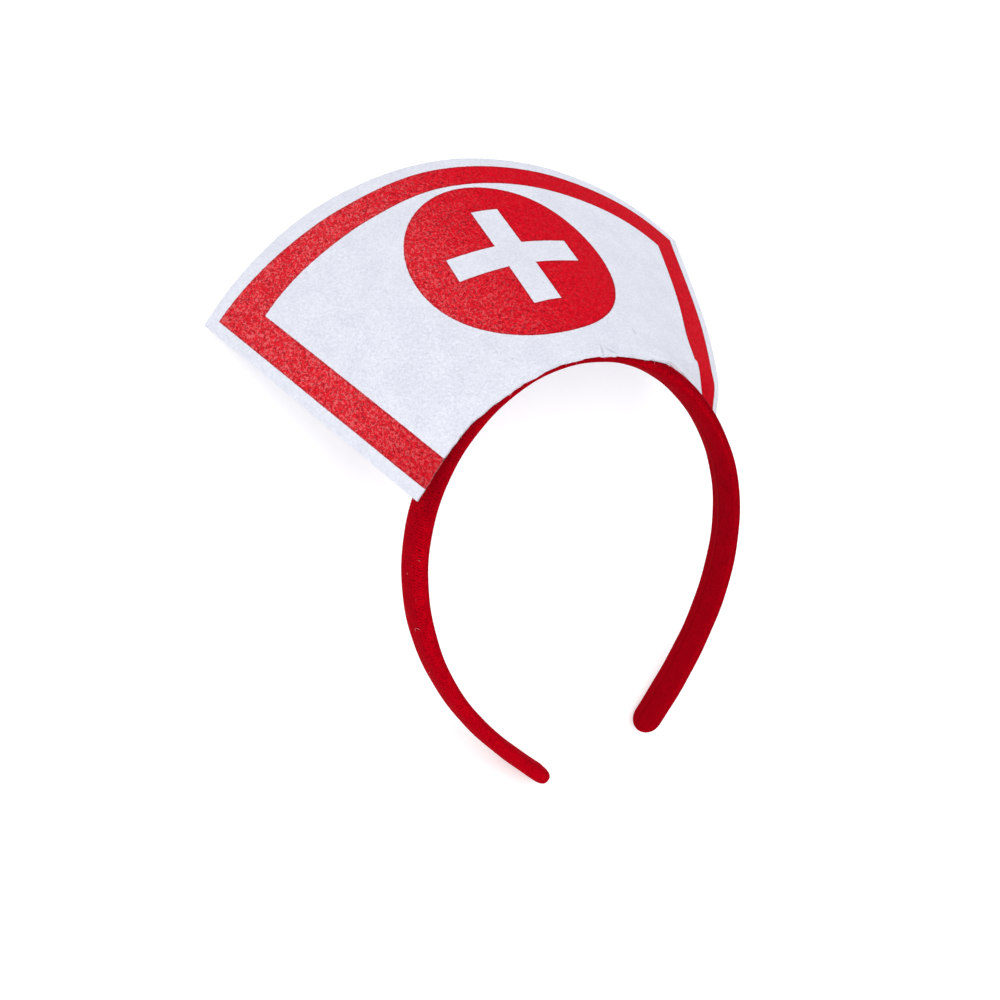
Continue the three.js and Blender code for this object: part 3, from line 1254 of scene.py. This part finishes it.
@dataclass
class FeltFan:
    """The printed felt, cut by hand along its foot and bent over the headband."""

    shape: FanShape
    rest: Rest
    columns: int = 280
    rows: int = 130
    row_crowding: float = 1.5
    cut_blur: float = 0.06
    cut_reach: float = 1 / 7
    nicks: tuple[Ripple, ...] = (
        Ripple(0.09, 37, 1.1, 11),
        Ripple(0.054, 83, 2.0, 17, 0.5),
        Ripple(0.0315, 151, 1.7, 29),
    )
    top_drop: TopDrop = TopDrop(left=(0.3, 4.0, 40.0, 50.0, 93.0))
    top_ripple: Ripple = Ripple(0.05, 83, 2.0, 31)
    top_reach: float = 1 / 12
    broad_wave: tuple[float, ...] = (0.2, 13.0, 31.0, 19.0, 0.8)
    cross_wave: Triple = (0.08, 7.3, 9.1)
    foot_ripple: Ripple = Ripple(0.16, 1 / 2.7, 1.2, 1 / 11)
    foot_line: Pair = (53.0, 60.0)
    clear: float = 0.2 * MM
    least_reach: float = 0.2
    tuck_across: Pair = (-1.5 * MM, 2.2 * MM)
    tuck_from: Pair = (16 * MM, 50 * MM)
    tuck_reach: float = 11 * MM
    tuck_slide: float = 3 * MM
    ease: Triple = (-1.3 * MM, 0.7 * MM, 0.0)
    ease_middle: Pair = (60 * MM, 77 * MM)
    ease_reach: Pair = (9 * MM, 21 * MM)
    bow: Triple = (1.7 * MM, 0.0, -3.2 * MM)
    bow_middle: float = 86 * MM
    bow_reach: float = 21 * MM
    bow_from: Pair = (28 * MM, 68 * MM)
    rim_bevel: float = 0.2 * MM
    rim_angle: float = math.radians(50)
    # The last number of a mark, where given, paints shade into its hollow.
    marks: tuple[Mark, ...] = (
        Mark(6.3, 59.6, 2.0, 0.8, 1.27, 0.45),
        Mark(7.2, 59.3, 1.8, 0.42, 1.27, -0.65, 0.7),
        Mark(10.9, 59.5, 2.0, 0.6, -1.0, 0.35),
        Mark(10.2, 58.9, 2.2, 0.45, -1.0, -0.5, 0.35),
        Mark(25.3, 66.6, 1.1, 0.34, 1.65, -0.4, 0.7),
        Mark(-16.0, 58.6, 3.0, 1.4, 0.5, -0.45),
        Mark(-31.0, 61.0, 8.0, 3.4, 0.3, 0.35),
        Mark(2.0, 66.0, 14.0, 5.0, 0.0, 0.3),
        Mark(33.0, 57.5, 6.0, 2.2, -0.4, 0.4),
        Mark(-44.0, 56.0, 5.0, 2.4, 0.6, -0.3),
        Mark(54.0, 61.0, 2.2, 1.2, 0.4, 0.35),
    )

    def foot_cut(self, u: Array) -> Array:
        """Tells how far the hand-cut foot, with its small nicks, strays along the fan at shares across."""
        slow = (Cut.at(u) + Cut.at(u - self.cut_blur)) / 2
        return (slow + sum(nick.at(u) for nick in self.nicks)) * MM

    def relief(self, x: Array, y: Array) -> Array:
        """Adds the sheet's soft waves and its few dents.

        Args:
            x: Flat places across the fan.
            y: Flat places along the fan.

        Returns:
            Heights towards the printed side.
        """
        x, y = x / MM, y / MM
        height, wide, slope, long, start = self.broad_wave
        rise = height * np.sin(x / wide + y / slope) * np.sin(y / long + start)
        height, wide, long = self.cross_wave
        rise = rise + height * np.sin(x / wide - y / long)
        line, spread = self.foot_line
        rise = rise + np.exp(-((y - line) ** 2) / spread) * self.foot_ripple.at(x)
        return (rise + sum(mark.height * mark.share(x, y) for mark in self.marks)) * MM

    def keep_clear(self, points: Array) -> Array:
        """Pushes the middle of the sheet off the headband where it would sink in.

        Args:
            points: Worn points of the sheet's middle.

        Returns:
            The points, clear of the band.
        """
        hoop = self.shape.hoop
        s, across, out = hoop.locate(points)
        gap = self.clear + self.shape.thickness / 2
        wide = abs(across / (hoop.width / 2 + gap)) ** hoop.fullness
        high = abs(out / (hoop.thickness / 2 + gap)) ** hoop.fullness
        reach = (wide + high) ** (1 / hoop.fullness)
        sunk = (reach < 1) & (s < hoop.arm_length)
        grow = np.where(sunk, 1 / np.maximum(reach, self.least_reach), 1.0)
        centre, outward = hoop.at(np.where(points[:, 0] < 0, -s, s))
        moved = centre + outward * (out * grow)[:, None]
        moved[:, 1] += across * grow
        return np.where(sunk[:, None], moved, points)

    def tuck(self, x: Array, y: Array) -> Array:
        """Draws the right part of the foot back onto the headband's outer face, behind its front edge.

        Args:
            x: Flat places across the fan.
            y: Flat places along the fan.

        Returns:
            Shifts of the worn points, one row each.
        """
        shape, hoop = self.shape, self.shape.hoop
        foot_x = np.clip(x, 0, shape.foot_half)
        foot_y = shape.foot(foot_x)
        foot = shape.surface(foot_x, foot_y)
        share = smooth_step(*self.tuck_from, foot_x)
        centre, outward = hoop.at(hoop.locate(foot)[0] + share * self.tuck_slide)
        seat = centre + outward * (hoop.thickness / 2 + self.clear + shape.thickness / 2)
        seat[:, 1] += self.tuck_across[0] + share * (self.tuck_across[1] - self.tuck_across[0])
        fade = np.exp(-((np.clip(y - foot_y, 0, None) / self.tuck_reach) ** 2))
        return (seat - foot) * (share * fade)[:, None]

    def worn(self, x: Array, y: Array, height: Array | float = 0.0) -> Array:
        """Finds worn points of the felt with its relief, its bowed right side and its tucked foot.

        Args:
            x: Flat places across the fan.
            y: Flat places along the fan.
            height: Extra height towards the printed side.

        Returns:
            Points of the worn cap, one row each.
        """
        points = self.shape.surface(x, y, self.relief(x, y) + height)
        bow = np.exp(-(((y - self.bow_middle) / self.bow_reach) ** 2)) * smooth_step(*self.bow_from, x)
        off_x = (x - self.ease_middle[0]) / self.ease_reach[0]
        off_y = (y - self.ease_middle[1]) / self.ease_reach[1]
        ease = np.exp(-(off_x**2) - off_y**2)
        return self.keep_clear(points + np.outer(bow, self.bow) + np.outer(ease, self.ease) + self.tuck(x, y))

    def lay_out(self, grid: Array) -> tuple[Array, Array]:
        """Cuts the flat felt out of a square grid, with closer rows towards its foot.

        Args:
            grid: Points of the grid from -1 to 1, one row each.

        Returns:
            Flat places across and along the fan.
        """
        u, v = grid[:, 0], ((grid[:, 1] + 1) / 2) ** self.row_crowding
        x, y = self.shape.flat(u, v)
        y = y + self.foot_cut(u) * np.clip(1 - v / self.cut_reach, 0, 1)
        y = y - self.top_drop.at(u * self.shape.top_half / MM) * MM * v
        return x, y + self.top_ripple.at(u) * MM * np.clip(1 - (1 - v) / self.top_reach, 0, 1)

    def build(self) -> None:
        """Makes, dresses and hands over the felt."""
        bpy.ops.object.select_all(action="DESELECT")
        bpy.ops.mesh.primitive_grid_add(x_subdivisions=self.columns, y_subdivisions=self.rows, size=2)
        obj = name_piece("felt_panel")
        x, y = self.lay_out(read_points(obj))
        write_attribute(obj, "flat_x", x)
        write_attribute(obj, "flat_y", y)
        # Stores how much painted shade greys each point.
        write_attribute(obj, "dent_shade", sum(mark.dent_shade * mark.share(x / MM, y / MM) for mark in self.marks))
        write_points(obj, self.rest.place(self.worn(x, y)))
        for name, inked in (("felt_printed", 1.0), ("felt_back", 0.03), ("felt_edge", 0.9)):
            obj.data.materials.append(Felt(name, inked).make())
        if sum(face.normal.z for face in obj.data.polygons) < 0:
            with editing(obj):
                bpy.ops.mesh.flip_normals()
        apply_modifier(
            obj, "SOLIDIFY", thickness=self.shape.thickness, offset=0.0, use_even_offset=True,
            material_offset=1, material_offset_rim=2,
        )
        apply_modifier(
            obj, "BEVEL", width=self.rim_bevel, segments=2, limit_method="ANGLE", angle_limit=self.rim_angle
        )
        bpy.ops.object.shade_smooth()
        settle(obj)
        hand_over(obj, "cap_panel")


# Loose fibres

@dataclass(frozen=True)
class Speck:
    """A speck of lint on the headband's outer face, in millimetres."""

    run: float
    across: float
    size: float


@dataclass
class Fluff:
    """Short fibres along the felt's cut edges, and lint that clings to the velour."""

    fan: FeltFan
    seed: int = 1219
    fibre_radius: float = 0.018 * MM
    fibre_points: int = 5
    edge_count: int = 520
    edge_length: Pair = (0.35, 0.95)
    foot_count: int = 170
    foot_length: Pair = (0.3, 0.9)
    foot_inside: float = 0.2 * MM
    foot_crowding: Pair = (0.5, 0.5)
    turn: Pair = (-1.1, 1.1)
    curl: Pair = (-2.2, 2.2)
    curl_strength: float = 0.3
    lift: Pair = (-0.35, 0.6)
    base: Pair = (-0.45, 0.5)
    thread_radius: float = 0.07 * MM
    thread_points: int = 12
    thread_start: Pair = (19.4, 54.0)
    thread_reach: Pair = (3.6, -0.8)
    thread_sway: Quad = (0.5, 5.0, 1.0, 2.6)
    thread_lift: Pair = (0.75, 0.3)
    loop_radius: float = 0.045 * MM
    loop_points: int = 28
    loop_middle: Pair = (-105.2, -3.4)
    loop_reach: Pair = (1.4, 1.6)
    loop_tail: Triple = (0.6, 8.0, 1.0)
    loop_lift: float = 0.16 * MM
    speck_radius: float = 0.03 * MM
    speck_fibres: int = 7
    speck_points: int = 7
    speck_height: Pair = (0.15, 0.5)
    speck_margin: float = 0.1 * MM
    speck_start: Pair = (0.0, 6.28)
    speck_sweep: Pair = (1.2, 3.4)
    speck_reach: Pair = (0.5, 1.3)
    speck_lift: Pair = (0.2, 1.0)
    lint: tuple[Speck, ...] = (
        Speck(-82.1, -5.6, 0.16),
        Speck(-87.2, -1.1, 0.2),
        Speck(-84.4, -3.2, 0.07),
        Speck(-94.3, -4.7, 0.07),
        Speck(-120.7, -0.8, 0.15),
        Speck(-111.8, -4.8, 0.08),
        Speck(-131.0, -2.6, 0.08),
        Speck(-73.5, 2.1, 0.07),
        Speck(-142.5, -4.0, 0.07),
        Speck(-101.0, 1.4, 0.06),
    )

    def strands(self, name: str, lines: list[Array], radius: float) -> bpy.types.Object:
        """Turns lines into thin closed threads.

        Args:
            name: The piece's name.
            lines: Worn points of each thread.
            radius: Radius of a thread.

        Returns:
            The threads as one mesh.
        """
        curve = bpy.data.curves.new(name, "CURVE")
        curve.dimensions = "3D"
        curve.bevel_depth = radius
        curve.bevel_resolution = 0
        curve.use_fill_caps = True
        for line in lines:
            spline = curve.splines.new("POLY")
            spline.points.add(len(line) - 1)
            placed = self.fan.rest.place(line)
            placed[:, 2] = np.maximum(placed[:, 2], 2 * radius)
            spline.points.foreach_set("co", np.column_stack([placed, np.ones(len(line))]).ravel())
        obj = bpy.data.objects.new(name, curve)
        bpy.context.scene.collection.objects.link(obj)
        choose(obj)
        bpy.ops.object.convert(target="MESH")
        return name_piece(name)

    def fibre(self, dice: random.Random, x: float, y: float, away: float, length: float) -> Array:
        """Bends one short fibre out of the felt.

        Args:
            dice: The seeded dice.
            x: Flat place across the fan.
            y: Flat place along the fan.
            away: Direction in the flat pattern that it points to.
            length: Its length.

        Returns:
            Worn points of the fibre.
        """
        turn = away + dice.uniform(*self.turn)
        curl = dice.uniform(*self.curl) * self.curl_strength
        rise = dice.uniform(*self.lift)
        steps = np.linspace(0, 1, self.fibre_points)
        xs = x + length * (steps * math.cos(turn) - steps**2 * curl * math.sin(turn))
        ys = y + length * (steps * math.sin(turn) + steps**2 * curl * math.cos(turn))
        base = dice.uniform(*self.base) * self.fan.shape.thickness
        return self.fan.worn(xs, ys, base + rise * length * steps)

    def edge_fibres(self) -> list[Array]:
        """Spreads fibres along all four of the felt's cut edges.

        Returns:
            Worn points of each fibre.
        """
        dice = random.Random(self.seed)
        shape = self.fan.shape
        lines = []
        for _ in range(self.edge_count):
            u, v = dice.uniform(-1, 1), dice.uniform(0, 1)
            top, left, right = (u, 1.0, math.pi / 2), (-1.0, v, math.pi), (1.0, v, 0.0)
            side, along, away = dice.choice((top, left, right, top))
            (x,), (y,) = shape.flat(np.array([side]), np.array([along]))
            lines.append(self.fibre(dice, x, y, away, dice.uniform(*self.edge_length) * MM))
        for _ in range(self.foot_count):
            crowded, even = self.foot_crowding
            u = np.array([dice.uniform(-1, 1) ** 3 * crowded + dice.uniform(-even, even)])
            (x,), (y,) = shape.flat(u, np.array([0.0]))
            edge = y + self.fan.foot_cut(u)[0] + self.foot_inside
            lines.append(self.fibre(dice, x, edge, -math.pi / 2, dice.uniform(*self.foot_length) * MM))
        return lines

    def thread(self) -> Array:
        """Lays one white thread that hangs out of the foot.

        Returns:
            Worn points of the thread.
        """
        t = np.linspace(0, 1, self.thread_points)
        side, side_pace, down, down_pace = self.thread_sway
        x = self.thread_start[0] + self.thread_reach[0] * t + side * np.sin(t * side_pace)
        y = self.thread_start[1] + self.thread_reach[1] * t + down * np.sin(t * down_pace)
        return self.fan.worn(x * MM, y * MM, (self.thread_lift[0] + self.thread_lift[1] * t) * MM)

    def loop(self) -> Array:
        """Lays the long looped fibre that clings to the left arm.

        Returns:
            Worn points of the fibre.
        """
        t = np.linspace(0, 1, self.loop_points)
        bent, back, aside = self.loop_tail
        bend, tail = np.clip(t / bent, 0, 1) * math.pi, np.clip(t - bent, 0, 1)
        run = self.loop_middle[0] + self.loop_reach[0] * np.sin(bend) - back * tail
        across = self.loop_middle[1] + self.loop_reach[1] * np.cos(bend) - aside * tail
        return self.fan.shape.hoop.skin(run * MM, across * MM, self.loop_lift)

    def specks(self) -> list[Array]:
        """Curls short fibres into specks of lint.

        Returns:
            Worn points of each fibre.
        """
        dice = random.Random(self.seed + 1)
        hoop = self.fan.shape.hoop
        widest = hoop.width / 2 - self.speck_margin
        least, more = self.speck_height
        t = np.linspace(0, 1, self.speck_points)
        lines = []
        for speck in self.lint:
            for _ in range(self.speck_fibres):
                turn = dice.uniform(*self.speck_start) + dice.uniform(*self.speck_sweep) * t
                run = speck.run + speck.size * np.cos(turn) * dice.uniform(*self.speck_reach)
                across = speck.across + speck.size * np.sin(turn) * dice.uniform(*self.speck_reach)
                off = least + speck.size * more * np.sin(t * math.pi) * dice.uniform(*self.speck_lift)
                lines.append(hoop.skin(run * MM, np.clip(across * MM, -widest, widest), off * MM))
        return lines

    def build(self) -> None:
        """Makes, dresses and hands over the fibres and the lint."""
        wool = Strand("fibre_white", srgb(222, 223, 233), srgb(243, 244, 250)).make()
        haze = Strand("fibre_pink", srgb(205, 92, 98), srgb(232, 160, 160)).make()
        pieces = (
            ("felt_edge_fibres", self.edge_fibres(), self.fibre_radius, wool),
            ("loose_thread", [self.thread()], self.thread_radius, wool),
            ("lint_specks", self.specks(), self.speck_radius, haze),
            ("lint_loop", [self.loop()], self.loop_radius, haze),
        )
        for name, lines, radius, finish in pieces:
            obj = self.strands(name, lines, radius)
            obj.data.materials.append(finish)
            hand_over(obj)


# The stage

@dataclass(frozen=True)
class Lamp:
    """A soft square lamp that looks at the cap, in metres and watts."""

    name: str
    place: Triple
    size: float
    power: float
    tint: Triple

    def hang(self) -> None:
        """Adds the lamp."""
        data = bpy.data.lights.new(self.name, "AREA")
        data.shape = "SQUARE"
        data.size = self.size
        data.energy = self.power
        data.color = self.tint
        obj = bpy.data.objects.new(self.name, data)
        bpy.context.scene.collection.objects.link(obj)
        obj.location = self.place
        obj.rotation_euler = (-Vector(self.place)).to_track_quat("-Z", "Y").to_euler()


@dataclass
class Studio:
    """Pale table, soft light and the camera, which sees the worn cap from the photograph's angle."""

    rest: Rest
    azimuth: float = math.radians(29.01)
    elevation: float = math.radians(20.505)
    roll: float = math.radians(-4.021)
    distance: float = 0.48605
    lens_pixels: float = 1528.1
    picture_pixels: float = 1000.0
    sensor_width: float = 36.0
    shift_right: float = -14.063 * MM
    shift_up: float = -22.684 * MM
    aim: Triple = (0.0, 0.020, 0.025)
    table_size: float = 6.0
    table_height: float = -0.2 * MM
    table_tones: tuple[Colour, Colour] = ((0.9, 0.9, 0.905, 1.0), (0.92, 0.92, 0.92, 1.0))
    table_patch: Grain = Grain(3.0)
    patch_tone: Ramp = (0.3, 0.7)
    table_glow: float = 0.25
    sky: Colour = (0.97, 0.985, 1.0, 1.0)
    sky_strength: float = 0.7
    lamps: tuple[Lamp, ...] = (
        Lamp("overhead", (-0.15, 0.1, 1.1), 1.0, 6.5, (1.0, 0.99, 0.98)),
        Lamp("left", (-0.9, -0.4, 0.6), 0.8, 2.2, (0.97, 0.98, 1.0)),
        Lamp("right", (0.85, 0.3, 0.6), 0.8, 1.1, (0.97, 0.98, 1.0)),
    )

    def camera(self) -> None:
        """Sets the camera to the angle from which the worn cap is seen."""
        az, el, roll = self.azimuth, self.elevation, self.roll
        back = Vector((-math.sin(az) * math.cos(el), -math.cos(az) * math.cos(el), math.sin(el)))
        right = Vector((0, 0, 1)).cross(back).normalized()
        up = back.cross(right)
        turned_right = right * math.cos(roll) + up * math.sin(roll)
        turned_up = up * math.cos(roll) - right * math.sin(roll)
        target = Vector(self.aim) + right * self.shift_right + up * self.shift_up
        basis = Matrix((turned_right, turned_up, back)).transposed().to_4x4()
        basis.translation = target + back * self.distance
        data = bpy.data.cameras.new("camera")
        data.sensor_width = self.sensor_width
        data.lens = self.lens_pixels / self.picture_pixels * self.sensor_width
        data.clip_start = 0.01
        camera = bpy.data.objects.new("camera", data)
        bpy.context.scene.collection.objects.link(camera)
        camera.matrix_world = self.rest.matrix @ basis
        bpy.context.scene.camera = camera

    def floor(self) -> None:
        """Adds the plain pale table."""
        bpy.ops.object.select_all(action="DESELECT")
        bpy.ops.mesh.primitive_plane_add(size=self.table_size, location=(0, 0, self.table_height))
        obj = name_piece("table")
        bench = Bench("table_white")
        patch = bench.noise(bench.own_place(), self.table_patch)
        shader = {
            "Base Color": bench.blend(patch.rise(*self.patch_tone), *self.table_tones),
            "Roughness": 0.9,
            "Emission Color": (1, 1, 1, 1),
            "Emission Strength": self.table_glow,
        }
        obj.data.materials.append(bench.finish(shader))

    def light(self) -> None:
        """Adds the soft studio light."""
        scene = bpy.context.scene
        scene.world = bpy.data.worlds.new("studio")
        scene.world.use_nodes = True
        sky = scene.world.node_tree.nodes["Background"]
        sky.inputs["Color"].default_value = self.sky
        sky.inputs["Strength"].default_value = self.sky_strength
        for lamp in self.lamps:
            lamp.hang()
        scene.view_settings.view_transform = "Standard"

    def build(self) -> None:
        """Sets the whole stage."""
        self.floor()
        self.light()
        self.camera()
        LOG.info("studio: camera at %s", tuple(round(v, 3) for v in bpy.context.scene.camera.location))


def main() -> None:
    """Builds the cap and its stage in order."""
    logging.basicConfig(level=logging.INFO, format="%(name)s: %(message)s")
    hoop = Hoop()
    shape = FanShape(hoop)
    rest = Rest(shape)
    Studio(rest).build()
    Headband(hoop, rest).build()
    fan = FeltFan(shape, rest)
    fan.build()
    Fluff(fan).build()


if __name__ == "__main__":
    main()
